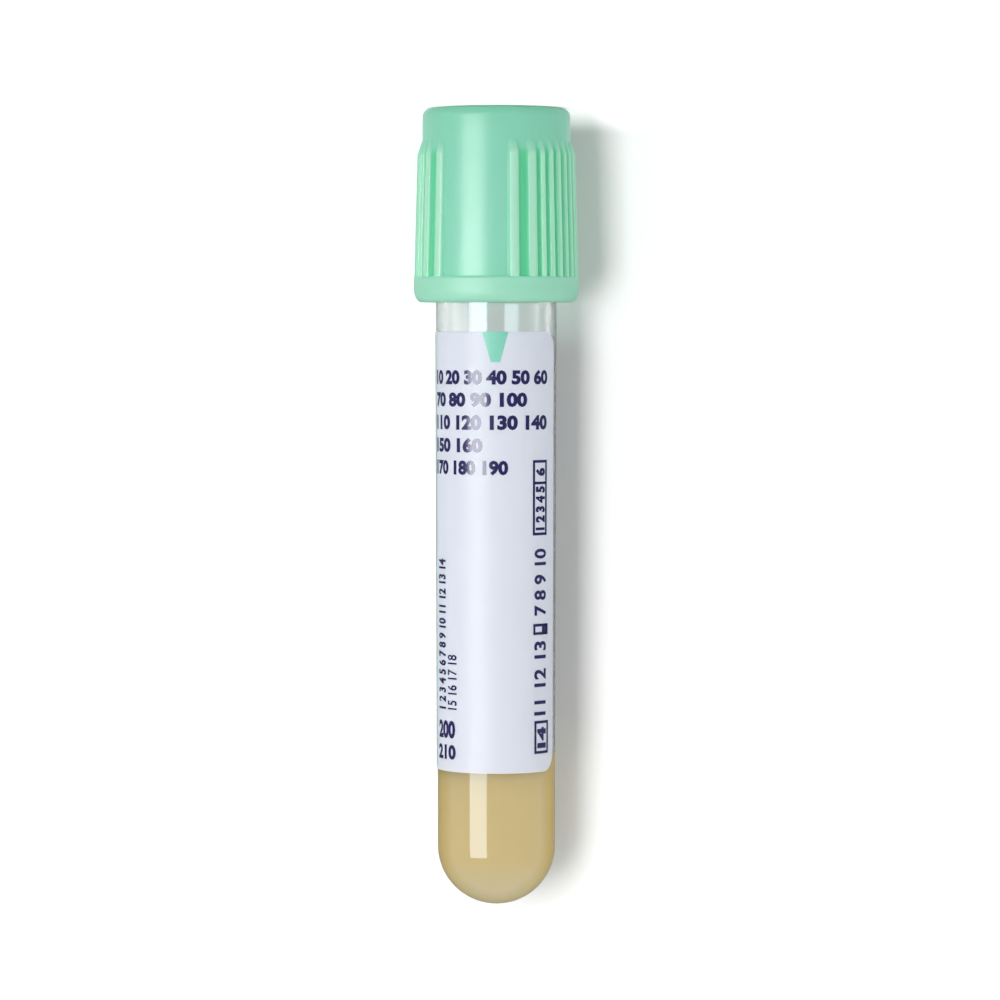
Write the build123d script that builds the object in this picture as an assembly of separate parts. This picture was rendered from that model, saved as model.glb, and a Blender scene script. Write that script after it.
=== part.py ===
from build123d import *
from math import degrees
import os

# Blood collection tube, standing on the flat top of its closure.
# Millimetres. The origin is the centre of the closure's top face, +Z runs up the tube towards its
# round bottom, and -Y is the front. Heights are measured from the closure's top face.

# ---- Driving dimensions ----
TUBE_LENGTH = 75.0            # rim to the tip of the round bottom
TUBE_RIM_RADIUS = 6.62        # outside, at the open end
TUBE_LOW_RADIUS = 6.45        # outside, at the round bottom
TUBE_STRAIGHT = 8.2           # side without draft, above the round bottom
TUBE_WALL = 1.0
TUBE_RIM_ROUND = 0.25

CLOSURE_HEIGHT = 21.2         # top face to the skirt's lip
RIM_DEPTH = 12.4              # closure's top face to the tube's rim
TOP_THICKNESS = 1.6           # shield's top ring
TOP_ROUND = 1.0               # outer corner of the top ring
PORT_RADIUS = 4.2             # needle port through the top ring
PORT_ROUND = 0.3
SHIELD_WALL = 1.2             # around the stopper's head
PANEL_FLARE = 0.4             # how far the sides lean out by the rim
SKIRT_FLARE = 0.4             # how far the skirt's inside opens by the lip
SKIRT_GAP = 0.88              # tube to the skirt's inside, at the neck
SKIRT_SHOULDER = 0.4          # step of the skirt above the tube's rim

RIM_BAND_HEIGHT = 2.8         # plain band round the lip
RIM_STEP = 0.55               # how far the band stands out from the panels
RIM_EDGE_ROUND = 0.25         # band's upper edge
LIP_ROUND_HEIGHT = 1.6        # lip's long outer round
LIP_ROUND_DEPTH = 0.85

RIB_START = 3.5               # where the ribs rise out of the top ring
RIB_RAMP = 1.5                # length of their pointed tips
RIB_HEIGHT = 0.5
RIB_SHOULDER = 0.36           # height at which a rib's flanks end and its crest begins to round
RIB_ROOT = 0.3                # how deep a rib is rooted in the wall
FINE_RIB_BASE = 1.0
FINE_RIB_CREST = 0.4
WIDE_RIB_BASE = 1.4
WIDE_RIB_CREST = 0.85
FINE_RIB_COUNT = 10           # in each ribbed side
FINE_RIB_PITCH = 8.2          # degrees
WIDE_RIB_ANGLES = (46.2, 60.3)  # degrees each way from the middle of a ribbed side
PANEL_TURN = -16.6            # degrees from the front to the middle of the front panel

RIDGE_DEPTH = 8.6             # snap ridge inside the shield, from the top face
RIDGE_WIDTH = 1.6
RIDGE_CREST = 0.8
RIDGE_HEIGHT = 0.4

SEAT_OVERHANG = 0.23          # stopper's head beyond the tube's rim
HEAD_ROUND = 0.5
WELL_RADIUS = 3.9             # needle well in the stopper's head
WELL_DEPTH = 5.0
WELL_ROUND = 1.6
DIAPHRAGM = 4.4               # solid rubber the needle goes through
PLUG_LENGTH = 8.6             # below the tube's rim
PLUG_WALL = 2.6
PLUG_TIP_ROUND = 0.6
RING_STANDOUT = 0.28          # sealing rings on the plug
RING_WIDTH = 1.5
RING_COUNT = 3
RING_PITCH = 2.2
FIRST_RING = 2.0              # first ring's middle, below the tube's rim

GEL_HEIGHT = 15.8             # gel above the tube's inner tip
LABEL_LOW_EDGE = 15.0         # above the tip of the round bottom
LABEL_LENGTH = 48.0
LABEL_THICKNESS = 0.1
LABEL_WRAP = 280.0            # degrees round the tube
LABEL_RIGHT_EDGE = 70.0       # degrees from the front, to the right with the closure up
LABEL_CORNER = 2.1

# ---- Named clearances ----
SNAP_GAP = 0.05               # stopper's head to the shield
SEAL_GAP = 0.05               # sealing rings to the tube's bore
GLUE_FILM = 0.02              # label to the tube

# ---- Worked out from the values above ----
TIP_Z = RIM_DEPTH + TUBE_LENGTH
DOME_Z = TIP_Z - TUBE_LOW_RADIUS
STRAIGHT_Z = DOME_Z - TUBE_STRAIGHT
BORE_LOW_RADIUS = TUBE_LOW_RADIUS - TUBE_WALL
HEAD_RADIUS = TUBE_RIM_RADIUS + SEAT_OVERHANG
SHIELD_BORE = HEAD_RADIUS + SNAP_GAP
RING_RADIUS = SHIELD_BORE + SHIELD_WALL
PANEL_FOOT_RADIUS = RING_RADIUS + PANEL_FLARE
RIM_RADIUS = PANEL_FOOT_RADIUS + RIM_STEP
RIM_BAND_Z = CLOSURE_HEIGHT - RIM_BAND_HEIGHT
SKIRT_RADIUS = TUBE_RIM_RADIUS + SKIRT_GAP
SKIRT_Z = RIM_DEPTH - SKIRT_SHOULDER
PLUG_END_Z = RIM_DEPTH + PLUG_LENGTH
FRONT = 270.0                 # polar angle of the front


def outer_radius(z):
    """Outside radius of the tube at height z: drafted from the rim, then straight."""
    share = min((z - RIM_DEPTH) / (STRAIGHT_Z - RIM_DEPTH), 1)
    return TUBE_RIM_RADIUS + (TUBE_LOW_RADIUS - TUBE_RIM_RADIUS) * share


def bore_radius(z):
    """Inside radius of the tube at height z."""
    return outer_radius(z) - TUBE_WALL


def side(radius_at, *ends):
    """Points of (radius, height) along the tube's side between two heights, bend included."""
    bend = [STRAIGHT_Z] if min(ends) < STRAIGHT_Z < max(ends) else []
    return [(radius_at(z), z) for z in (ends[0], *bend, ends[1])]


def turned(*outline):
    """A solid of revolution about Z from an outline of (radius, height) lines and arcs."""
    return revolve(Plane.XZ * make_face(outline), Axis.Z)


def make_tube():
    """Clear moulded tube with a round bottom and a rounded rim."""
    rim_z = RIM_DEPTH
    side_z = rim_z + TUBE_RIM_ROUND
    outside = Polyline(*side(outer_radius, side_z, DOME_Z))
    dome = CenterArc((0, DOME_Z), TUBE_LOW_RADIUS, 0, 90)
    tip = Line((0, TIP_Z), (0, TIP_Z - TUBE_WALL))
    inner_dome = CenterArc((0, DOME_Z), BORE_LOW_RADIUS, 90, -90)
    bore = Polyline(*side(bore_radius, DOME_Z, side_z))
    inner_lip = (bore_radius(rim_z) + TUBE_RIM_ROUND, rim_z)
    outer_lip = (outer_radius(rim_z) - TUBE_RIM_ROUND, rim_z)
    inner_round = RadiusArc(bore @ 1, inner_lip, TUBE_RIM_ROUND)
    rim = Line(inner_lip, outer_lip)
    outer_round = RadiusArc(outer_lip, outside @ 0, TUBE_RIM_ROUND)
    return turned(outside, dome, tip, inner_dome, bore, inner_round, rim, outer_round)


def make_gel():
    """Separator gel that fills the round bottom."""
    tip_z = TIP_Z - TUBE_WALL
    top_z = tip_z - GEL_HEIGHT
    dome = CenterArc((0, DOME_Z), BORE_LOW_RADIUS, 0, 90)
    rest = Polyline((0, tip_z), (0, top_z), *side(bore_radius, top_z, DOME_Z))
    return turned(dome, rest)


def make_label():
    """Paper label wrapped round the tube, with rounded corners and a bare window at the back."""
    low_z = TIP_Z - LABEL_LOW_EDGE
    high_z = low_z - LABEL_LENGTH
    inside = side(lambda z: outer_radius(z) + GLUE_FILM, high_z, low_z)
    outside = [(radius + LABEL_THICKNESS, z) for radius, z in reversed(inside)]
    section = Plane.XZ * make_face(Polyline(*inside, *outside, close=True))
    sheet = Rot(0, 0, FRONT - LABEL_RIGHT_EDGE) * revolve(section, Axis.Z, LABEL_WRAP)
    corner_turn = degrees(LABEL_CORNER / TUBE_LOW_RADIUS)
    reach = 1.5 * LABEL_CORNER
    for along, edge_angle in ((-1, FRONT - LABEL_RIGHT_EDGE), (1, FRONT - LABEL_RIGHT_EDGE + LABEL_WRAP)):
        outward = Vector(1, 0, 0).rotate(Axis.Z, edge_angle - along * corner_turn)
        for up, edge_z in ((-1, high_z), (1, low_z)):
            middle = Plane(origin=(0, 0, edge_z - up * LABEL_CORNER),
                           x_dir=Vector(0, 0, 1).cross(outward), z_dir=outward)
            waste = Pos(along * reach / 2, up * reach / 2) * Rectangle(reach, reach) - Circle(LABEL_CORNER)
            sheet -= extrude(middle * waste, 2 * TUBE_RIM_RADIUS)
    return sheet


def snap_outline(radius, gap):
    """Points of the snap ridge, or of the groove that takes it, from the skirt side to the top."""
    flat = RIDGE_CREST / 2 + gap
    foot = RIDGE_WIDTH / 2 + gap
    crest = radius - RIDGE_HEIGHT
    return [
        (radius, RIDGE_DEPTH + foot),
        (crest, RIDGE_DEPTH + flat),
        (crest, RIDGE_DEPTH - flat),
        (radius, RIDGE_DEPTH - foot),
    ]


def make_stopper():
    """Rubber stopper: head with a needle well, seat for the tube's rim, hollow ringed plug."""
    top_z = TOP_THICKNESS
    floor_z = top_z + WELL_DEPTH
    roof_z = floor_z + DIAPHRAGM
    root = bore_radius(PLUG_END_Z) - SEAL_GAP - RING_STANDOUT
    cavity = root - PLUG_WALL
    edges = [
        Line((WELL_RADIUS, top_z), (WELL_RADIUS, floor_z - WELL_ROUND)),
        RadiusArc((WELL_RADIUS, floor_z - WELL_ROUND), (WELL_RADIUS - WELL_ROUND, floor_z), -WELL_ROUND),
        Polyline((WELL_RADIUS - WELL_ROUND, floor_z), (0, floor_z), (0, roof_z)),
        CenterArc((0, roof_z + cavity), cavity, 270, 90),
        Line((cavity, roof_z + cavity), (cavity, PLUG_END_Z)),
        Line((cavity, PLUG_END_Z), (root - PLUG_TIP_ROUND, PLUG_END_Z)),
        RadiusArc((root - PLUG_TIP_ROUND, PLUG_END_Z), (root, PLUG_END_Z - PLUG_TIP_ROUND), PLUG_TIP_ROUND),
    ]
    reached = PLUG_END_Z - PLUG_TIP_ROUND
    for ring in reversed(range(RING_COUNT)):
        middle = RIM_DEPTH + FIRST_RING + ring * RING_PITCH
        near, far = middle + RING_WIDTH / 2, middle - RING_WIDTH / 2
        edges.append(Line((root, reached), (root, near)))
        edges.append(ThreePointArc((root, near), (bore_radius(middle) - SEAL_GAP, middle), (root, far)))
        reached = far
    edges.append(Polyline(
        (root, reached), (root, RIM_DEPTH), (HEAD_RADIUS, RIM_DEPTH),
        *snap_outline(HEAD_RADIUS, SNAP_GAP), (HEAD_RADIUS, top_z + HEAD_ROUND),
    ))
    edges.append(RadiusArc((HEAD_RADIUS, top_z + HEAD_ROUND), (HEAD_RADIUS - HEAD_ROUND, top_z), HEAD_ROUND))
    edges.append(Line((HEAD_RADIUS - HEAD_ROUND, top_z), (WELL_RADIUS, top_z)))
    return turned(*edges)


def make_rib(base, crest):
    """One rib at the front, rising from the top ring with a pointed tip and ending in the rim band."""
    def section(radius, z):
        outline = [
            (-base / 2 - RIB_ROOT, -RIB_ROOT), (-crest / 2, RIB_SHOULDER), (-crest / 4, RIB_HEIGHT),
            (crest / 4, RIB_HEIGHT), (crest / 2, RIB_SHOULDER), (base / 2 + RIB_ROOT, -RIB_ROOT),
        ]
        placed = [(radius + out, across) for across, out in outline]
        return Pos(0, 0, z) * make_face(Polyline(*placed, close=True))

    lean = PANEL_FLARE / (RIM_BAND_Z - RIB_START)
    full_z = RIB_START + RIB_RAMP
    end_z = RIM_BAND_Z + RIM_EDGE_ROUND
    tip = loft([section(RING_RADIUS - RIB_HEIGHT, RIB_START),
                section(RING_RADIUS + lean * RIB_RAMP, full_z)], ruled=True)
    length = loft([section(RING_RADIUS + lean * RIB_RAMP, full_z),
                   section(RING_RADIUS + lean * (end_z - RIB_START), end_z)], ruled=True)
    return tip + length


def make_shield():
    """Moulded cap: top ring with the needle port, ribbed sides with two smooth panels, rim, skirt."""
    lip_radius = SKIRT_RADIUS + SKIRT_FLARE
    shell = turned(
        Line((PORT_RADIUS + PORT_ROUND, 0), (RING_RADIUS - TOP_ROUND, 0)),
        RadiusArc((RING_RADIUS - TOP_ROUND, 0), (RING_RADIUS, TOP_ROUND), -TOP_ROUND),
        Polyline((RING_RADIUS, TOP_ROUND), (RING_RADIUS, RIB_START), (PANEL_FOOT_RADIUS, RIM_BAND_Z),
                 (RIM_RADIUS - RIM_EDGE_ROUND, RIM_BAND_Z)),
        RadiusArc((RIM_RADIUS - RIM_EDGE_ROUND, RIM_BAND_Z), (RIM_RADIUS, RIM_BAND_Z + RIM_EDGE_ROUND),
                  -RIM_EDGE_ROUND),
        Line((RIM_RADIUS, RIM_BAND_Z + RIM_EDGE_ROUND), (RIM_RADIUS, CLOSURE_HEIGHT - LIP_ROUND_HEIGHT)),
        EllipticalCenterArc((RIM_RADIUS - LIP_ROUND_DEPTH, CLOSURE_HEIGHT - LIP_ROUND_HEIGHT),
                            LIP_ROUND_DEPTH, LIP_ROUND_HEIGHT, 0, arc_size=90),
        Polyline((RIM_RADIUS - LIP_ROUND_DEPTH, CLOSURE_HEIGHT), (lip_radius, CLOSURE_HEIGHT),
                 (SKIRT_RADIUS, SKIRT_Z), (SHIELD_BORE, SKIRT_Z), *snap_outline(SHIELD_BORE, 0),
                 (SHIELD_BORE, TOP_THICKNESS), (PORT_RADIUS, TOP_THICKNESS), (PORT_RADIUS, PORT_ROUND)),
        RadiusArc((PORT_RADIUS, PORT_ROUND), (PORT_RADIUS + PORT_ROUND, 0), -PORT_ROUND),
    )
    fine_rib = make_rib(FINE_RIB_BASE, FINE_RIB_CREST)
    wide_rib = make_rib(WIDE_RIB_BASE, WIDE_RIB_CREST)
    for quarter in (90, 270):
        middle = FRONT - PANEL_TURN + quarter
        for number in range(FINE_RIB_COUNT):
            turn = (number - (FINE_RIB_COUNT - 1) / 2) * FINE_RIB_PITCH
            shell += Rot(0, 0, middle + turn) * fine_rib
        for angle in WIDE_RIB_ANGLES:
            shell += Rot(0, 0, middle + angle) * wide_rib
            shell += Rot(0, 0, middle - angle) * wide_rib
    return shell


os.makedirs("parts", exist_ok=True)
for name, part in {
    "shield": make_shield(),
    "stopper": make_stopper(),
    "tube": make_tube(),
    "separator_gel": make_gel(),
    "label": make_label(),
}.items():
    export_step(part, f"parts/{name}.step")
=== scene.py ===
# %% [markdown]
# # Blood collection tube
# A small clear tube with a round bottom, a white label wrapped round it, a plug of tan gel inside, and a
# mint-green closure over a rubber stopper. It stands on the flat top of its closure, so +Z runs up the
# tube towards its round bottom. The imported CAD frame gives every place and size; this file gives the looks.

# %% Load the frame
import math

import bmesh
import bpy
import numpy as np
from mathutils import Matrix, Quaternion, Vector


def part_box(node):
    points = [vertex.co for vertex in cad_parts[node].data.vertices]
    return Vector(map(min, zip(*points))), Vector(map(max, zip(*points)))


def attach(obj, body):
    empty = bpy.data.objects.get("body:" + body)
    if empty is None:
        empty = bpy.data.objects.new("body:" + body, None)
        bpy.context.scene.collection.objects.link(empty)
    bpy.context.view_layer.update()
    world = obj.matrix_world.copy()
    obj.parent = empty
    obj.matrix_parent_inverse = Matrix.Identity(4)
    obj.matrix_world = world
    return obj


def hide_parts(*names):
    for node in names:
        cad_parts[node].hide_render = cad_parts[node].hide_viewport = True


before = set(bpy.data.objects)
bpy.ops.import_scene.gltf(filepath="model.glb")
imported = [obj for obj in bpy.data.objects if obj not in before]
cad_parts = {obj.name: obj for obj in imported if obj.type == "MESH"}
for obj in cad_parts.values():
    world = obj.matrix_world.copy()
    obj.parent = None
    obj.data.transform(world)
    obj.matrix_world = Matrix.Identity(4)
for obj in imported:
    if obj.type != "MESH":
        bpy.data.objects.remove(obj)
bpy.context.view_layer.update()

# %% [markdown]
# ## Sizes
# Real sizes are easiest to read in millimetres, and Blender works in metres, so `MM` turns one into the
# other. The big sizes come from the boxes of the CAD nodes. Only what a box can't tell, such as a wall's
# thickness, is written here.

# %% Sizes from the frame
MM = 0.001
shield_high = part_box("shield")[1]
stopper_low, stopper_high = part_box("stopper")
tube_low, tube_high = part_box("tube")
gel_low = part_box("separator_gel")[0]
label_low, label_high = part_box("label")

TUBE_WALL = 1.0 * MM
TUBE_DRAFT = 0.17 * MM            # the tube's radius is this much less where the round bottom begins
RIM_OVERHANG = 2.43 * MM          # the closure's rim stands out so far from the tube's
STRAIGHT_RUN = 8.2 * MM           # the side's last stretch before the dome has no taper
TUBE_RIM_RADIUS = shield_high.x - RIM_OVERHANG
TUBE_LOW_RADIUS = TUBE_RIM_RADIUS - TUBE_DRAFT
RIM_Z, TIP_Z = tube_low.z, tube_high.z
DOME_Z = TIP_Z - TUBE_LOW_RADIUS
STRAIGHT_Z = DOME_Z - STRAIGHT_RUN
print("tube", RIM_Z / MM, "to", TIP_Z / MM, "radius", TUBE_RIM_RADIUS / MM)


def outer_radius(z):
    """Outside radius of the tube's side: a straight taper from the rim, then no taper at all."""
    return TUBE_RIM_RADIUS - TUBE_DRAFT * np.minimum((z - RIM_Z) / (STRAIGHT_Z - RIM_Z), 1)


# %% [markdown]
# ## Surfaces as arrays
# Every piece of this object is round, so most surfaces are a profile carried round the axis: a grid with
# the angle as one parameter and the place along the profile as the other. Numpy works out the whole grid
# at once. Corners of a profile are given with a radius, and become short arcs, because no moulded edge is
# perfectly sharp and a rounded edge is what catches the light.

# %% Rounded profiles
NEARLY_STRAIGHT = math.radians(89.5)      # half the angle of a corner too open to need an arc


def rounded(corners, steps=6):
    """A profile through (radius, height, round) corners. At each corner the two straight runs are joined
    by an arc that is tangent to both: its ends lie round * tan(turn / 2) from the corner."""
    corners = np.array(corners, float)
    points = [corners[:1, :2]]
    for before, corner, after in zip(corners, corners[1:], corners[2:]):
        back, ahead = before[:2] - corner[:2], after[:2] - corner[:2]
        back, ahead = back / np.linalg.norm(back), ahead / np.linalg.norm(ahead)
        half = math.acos(np.clip(back @ ahead, -1, 1)) / 2
        if corner[2] == 0 or half > NEARLY_STRAIGHT:
            points.append(corner[None, :2])
            continue
        middle = corner[:2] + (back + ahead) / np.linalg.norm(back + ahead) * corner[2] / math.sin(half)
        first = corner[:2] + back * corner[2] / math.tan(half) - middle
        last = corner[:2] + ahead * corner[2] / math.tan(half) - middle
        share, sweep = np.linspace(0, 1, steps + 1)[:, None], math.pi - 2 * half
        swept = np.sin((1 - share) * sweep) * first + np.sin(share * sweep) * last
        points.append(middle + swept / math.sin(sweep))
    points.append(corners[-1:, :2])
    return np.concatenate(points)


def arc(centre_z, radius, start, end, steps):
    """Points of (radius, height) on a circle round (0, centre_z), from one angle to another."""
    angle = np.radians(np.linspace(start, end, steps + 1))
    return np.stack([radius * np.cos(angle), centre_z + radius * np.sin(angle)], 1)


# %% [markdown]
# A mesh becomes a piece when it rides a body of the frame, and the CAD node that it stands for is hidden. An
# open sheet has no inside that Blender could tell from its outside, so its faces are compared with the
# direction away from the axis.

# %% Meshes to pieces
def ride_body(name, mesh, body, replaced=()):
    """Makes a mesh a piece that rides a body."""
    piece = bpy.data.objects.new(name, mesh)
    bpy.context.scene.collection.objects.link(piece)
    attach(piece, body)
    if replaced:
        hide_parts(*replaced)
    print(name, len(mesh.polygons), "faces")
    return piece


def face_outward(mesh):
    """Flips an open sheet whose faces point at the axis. A closed surface doesn't need this."""
    facing, middle = np.zeros(len(mesh.polygons) * 3), np.zeros(len(mesh.polygons) * 3)
    mesh.polygons.foreach_get("normal", facing)
    mesh.polygons.foreach_get("center", middle)
    if (facing.reshape(-1, 3)[:, :2] * middle.reshape(-1, 3)[:, :2]).sum() < 0:
        mesh.flip_normals()


# %% [markdown]
# A grid becomes a mesh by numbering its points and making one quad of each cell. A surface that goes all
# the way round joins its last column to its first. At a pole a whole row of points falls together, so
# doubles are merged, and only then are the faces turned outwards and smoothed.

# %% Grids to meshes
TOUCHING = 1e-7                   # metres; points nearer than this count as one
SHARP_TURN = math.radians(40)     # an edge that turns more than this is drawn sharp
SIDES = 192                       # columns of a plain turned surface


def piece_from_grid(name, grid, body, replaced, loop_rows=False, loop_columns=True):
    """Makes a piece from a grid of points, rows by columns by xyz. Each cell is one quad, and rows or
    columns can close on themselves. Points that meet, as at a pole, are merged."""
    rows, columns = grid.shape[:2]
    index = np.arange(rows * columns).reshape(rows, columns)
    if loop_rows:
        index = np.concatenate([index, index[:1]])
    if loop_columns:
        index = np.concatenate([index, index[:, :1]], 1)
    quads = np.stack([index[:-1, :-1], index[:-1, 1:], index[1:, 1:], index[1:, :-1]], -1).reshape(-1, 4)
    mesh = bpy.data.meshes.new(name)
    mesh.from_pydata(grid.reshape(-1, 3), [], quads.tolist())
    work = bmesh.new()
    work.from_mesh(mesh)
    bmesh.ops.remove_doubles(work, verts=work.verts, dist=TOUCHING)
    bmesh.ops.recalc_face_normals(work, faces=work.faces)
    work.to_mesh(mesh)
    work.free()
    mesh.shade_smooth()
    mesh.set_sharp_from_angle(angle=SHARP_TURN)
    if not loop_columns:
        face_outward(mesh)
    return ride_body(name, mesh, body, replaced)


def around(angle, radius, height):
    """Points of a grid from cylinder coordinates: (radius cos a, radius sin a, height)."""
    return np.stack([radius * np.cos(angle), radius * np.sin(angle), height + 0 * angle], -1)


def turned(name, profile, body, replaced, closed=False):
    """A surface of revolution: each (radius, height) of the profile carried round the axis."""
    angle = np.linspace(0, 2 * math.pi, SIDES, endpoint=False)
    grid = around(angle, profile[:, :1], profile[:, 1:])
    return piece_from_grid(name, grid, body, replaced, loop_rows=closed)


# %% [markdown]
# ## Shader sums as Python
# A material's maths is easier to read as an expression than as a row of nodes. `Wire` stands for one
# output socket, and arithmetic on it adds the Math nodes. `Shading` is the node tree of a material or of
# the world, and its one method `node` adds any node, with its settings first and then its inputs.

# %% Sums on sockets
class Wire:
    """One output socket. Arithmetic on it adds the Math nodes that work out the sum."""

    def __init__(self, shading, socket):
        self.shading, self.socket = shading, socket

    def math(self, operation, first, second, clamp=False):
        settings = {"operation": operation, "use_clamp": clamp}
        return self.shading.node("ShaderNodeMath", settings, first, second)

    def __add__(self, other): return self.math("ADD", self, other)
    def __radd__(self, other): return self.math("ADD", other, self)
    def __sub__(self, other): return self.math("SUBTRACT", self, other)
    def __rsub__(self, other): return self.math("SUBTRACT", other, self)
    def __mul__(self, other): return self.math("MULTIPLY", self, other)
    def __rmul__(self, other): return self.math("MULTIPLY", other, self)

    def past(self, start, slope):
        """How far the value is past a start, times a slope, held between 0 and 1."""
        return self.math("MULTIPLY", self - start, slope, clamp=True)


class Shading:
    """The node tree of a material or of the world."""

    def __init__(self, owner):
        owner.use_nodes = True
        self.tree = owner.node_tree

    def node(self, kind, settings=None, *values, output=0, **named):
        """Adds a node, sets it up, then gives its inputs numbers, colours or Wires. None leaves an input as
        it is. The output is picked by name or number."""
        node = self.tree.nodes.new(kind)
        for setting, value in (settings or {}).items():
            setattr(node, setting, value)
        for key, value in [*enumerate(values), *named.items()]:
            socket = node.inputs[key if isinstance(key, int) else key.replace("_", " ")]
            if isinstance(value, Wire):
                self.tree.links.new(value.socket, socket)
            elif value is not None:
                socket.default_value = value
        return Wire(self, node.outputs[output])

    def ray(self, kind):
        """1 for a ray of this kind and 0 for any other."""
        return self.node("ShaderNodeLightPath", output=f"Is {kind} Ray")

    def ramp(self, value, start, end, low=0.0, high=1.0, shape="LINEAR"):
        """Goes from low to high while a value goes from start to end."""
        return self.node("ShaderNodeMapRange", {"interpolation_type": shape}, value, start, end, low, high)


# %% [markdown]
# Every finish here is one Principled shader with a few sockets driven by soft noise, since even plain
# moulded plastic is never one flat colour. What is the same all over is set on the shader's own socket.

# %% Finishes
def colour(code):
    """A screen colour such as #8CD9BE as the linear numbers that shaders use."""
    values = [int(code[i:i + 2], 16) / 255 for i in (1, 3, 5)]
    return (*[v / 12.92 if v <= 0.04045 else ((v + 0.055) / 1.055) ** 2.4 for v in values], 1.0)


WHITE = colour("#FFFFFF")


class Finish(Shading):
    """A material with one Principled shader. Constants go straight onto its sockets."""

    def __init__(self, name, **constants):
        self.material = bpy.data.materials.new(name)
        super().__init__(self.material)
        self.shader = self.tree.nodes["Principled BSDF"]
        for socket, value in constants.items():
            self.shader.inputs[socket.replace("_", " ")].default_value = value

    def drive(self, socket, wire):
        """Lets a wire set one of the shader's sockets."""
        self.tree.links.new(wire.socket, self.shader.inputs[socket])

    def mix(self, share, first, second):
        """A colour between two colours. The node's inputs 1 to 5 are for numbers and vectors."""
        skipped = [None] * 5
        return self.node("ShaderNodeMix", {"data_type": "RGBA"}, share, *skipped, first, second, output=2)

    def place(self):
        """Where a point is on the object, in metres."""
        return self.node("ShaderNodeTexCoord", output="Object")

    def height(self):
        """How high a point is on the object, in metres."""
        return self.node("ShaderNodeSeparateXYZ", None, self.place(), output="Z")

    def noise(self, size, detail=2.0):
        """Soft noise whose bumps are about `size` metres across, from 0 to 1."""
        return self.node("ShaderNodeTexNoise", None, Vector=self.place(), Scale=1 / size, Detail=detail)

    def mottle(self, size, first, second, detail=2.0):
        """A colour that drifts between two, in patches about `size` metres across."""
        return self.mix(self.noise(size, detail), colour(first), colour(second))

    def bump(self, height, depth, strength):
        """Raises the surface by height times depth metres, for the light only."""
        raised = self.node("ShaderNodeBump", None, Strength=strength, Distance=depth, Height=height)
        self.drive("Normal", raised)

    def clear_where(self, share, tint=WHITE):
        """Lets a clear shader take the place of the Principled one, by so big a share."""
        clear = self.node("ShaderNodeBsdfTransparent", None, tint)
        both = self.node("ShaderNodeMixShader", None, share, Wire(self, self.shader.outputs[0]), clear)
        self.tree.links.new(both.socket, self.tree.nodes["Material Output"].inputs["Surface"])


def wear(piece, finish):
    """Gives a piece its only material."""
    piece.data.materials.clear()
    piece.data.materials.append(finish.material)


# %% [markdown]
# ## Camera
# A long lens from about half a metre, level with the edge of the label that is nearer the closure, tilted a
# little to take in the whole object. The object stands on its closure, but people read it with the closure
# up, so the camera is rolled half a turn.

# %% Camera
CAMERA_DISTANCE = 460 * MM
EYE_HEIGHT = 24.0 * MM
VIEW_CENTRE = Vector((-0.4 * MM, 0, 42.9 * MM))
PICTURE_HEIGHT = 109.8 * MM       # seen at the object's distance
SENSOR = 36                       # millimetres, like the lens
HALF_ROLL = Quaternion((0, 0, 1), math.pi)

camera = bpy.data.objects.new("camera", bpy.data.cameras.new("camera"))
bpy.context.scene.collection.objects.link(camera)
bpy.context.scene.camera = camera
camera.data.sensor_width = SENSOR
camera.data.lens = SENSOR * CAMERA_DISTANCE / PICTURE_HEIGHT
camera.data.clip_start, camera.data.clip_end = 10 * MM, 20
camera.location = (VIEW_CENTRE.x, -CAMERA_DISTANCE, EYE_HEIGHT)
toward = VIEW_CENTRE - camera.location
camera.rotation_euler = (toward.to_track_quat("-Z", "Y") @ HALF_ROLL).to_euler()
print("lens", round(camera.data.lens, 1), "mm")

# %% [markdown]
# ## Light and setting
# An even pale surround gives most of the light. Four lamps stand in for one big soft box at the side,
# because its jobs need different powers. The main one shapes the closure and the label. The gloss one is
# seen only in reflections, and makes the tall highlight down the closure and the label. The tube has a box
# of its own, much weaker because a clear smooth wall shows it undimmed: once in the front of the wall, and
# once more in its far side, which is a hollow mirror. The last one lights only the stage, where it throws
# the soft shadow. The gel takes no lamp's light, since the wall round it spreads the light so well that the
# real gel looks flat. A collection says which pieces a lamp lights or leaves out, and the pieces join it
# once they are made.

# %% Soft boxes
BOX_DISTANCE, BOX_CENTRE_Z = 350 * MM, 66 * MM
BOX_TURN, STAGE_BOX_TURN = 36.0, 19.5     # degrees from the camera's side
BOX_WIDTH, STAGE_BOX_WIDTH = 218 * MM, 90 * MM
BOX_HEIGHT, TUBE_BOX_HEIGHT = 200 * MM, 270 * MM
COOL_TINT = (0.9, 1.0, 1.1)


def soft_box(name, watts, lights, turn=BOX_TURN, width=BOX_WIDTH, tall=BOX_HEIGHT, step=0):
    """An upright lamp that faces the object's axis, so many degrees round from the camera. Each box at the
    same turn stands a step of 1 mm from the last, because of two lamps in one plane only one is seen."""
    lamp = bpy.data.objects.new(name, bpy.data.lights.new(name, "AREA"))
    bpy.context.scene.collection.objects.link(lamp)
    lamp.data.shape = "RECTANGLE"
    lamp.data.size, lamp.data.size_y, lamp.data.energy = width, tall, watts
    turn, distance = math.radians(turn), BOX_DISTANCE + step * MM
    lamp.location = (distance * math.sin(turn), -distance * math.cos(turn), BOX_CENTRE_Z)
    lamp.rotation_euler = (math.radians(90), 0, turn)
    lamp.light_linking.receiver_collection = lights
    print(name, watts, "W")
    return lamp


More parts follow.
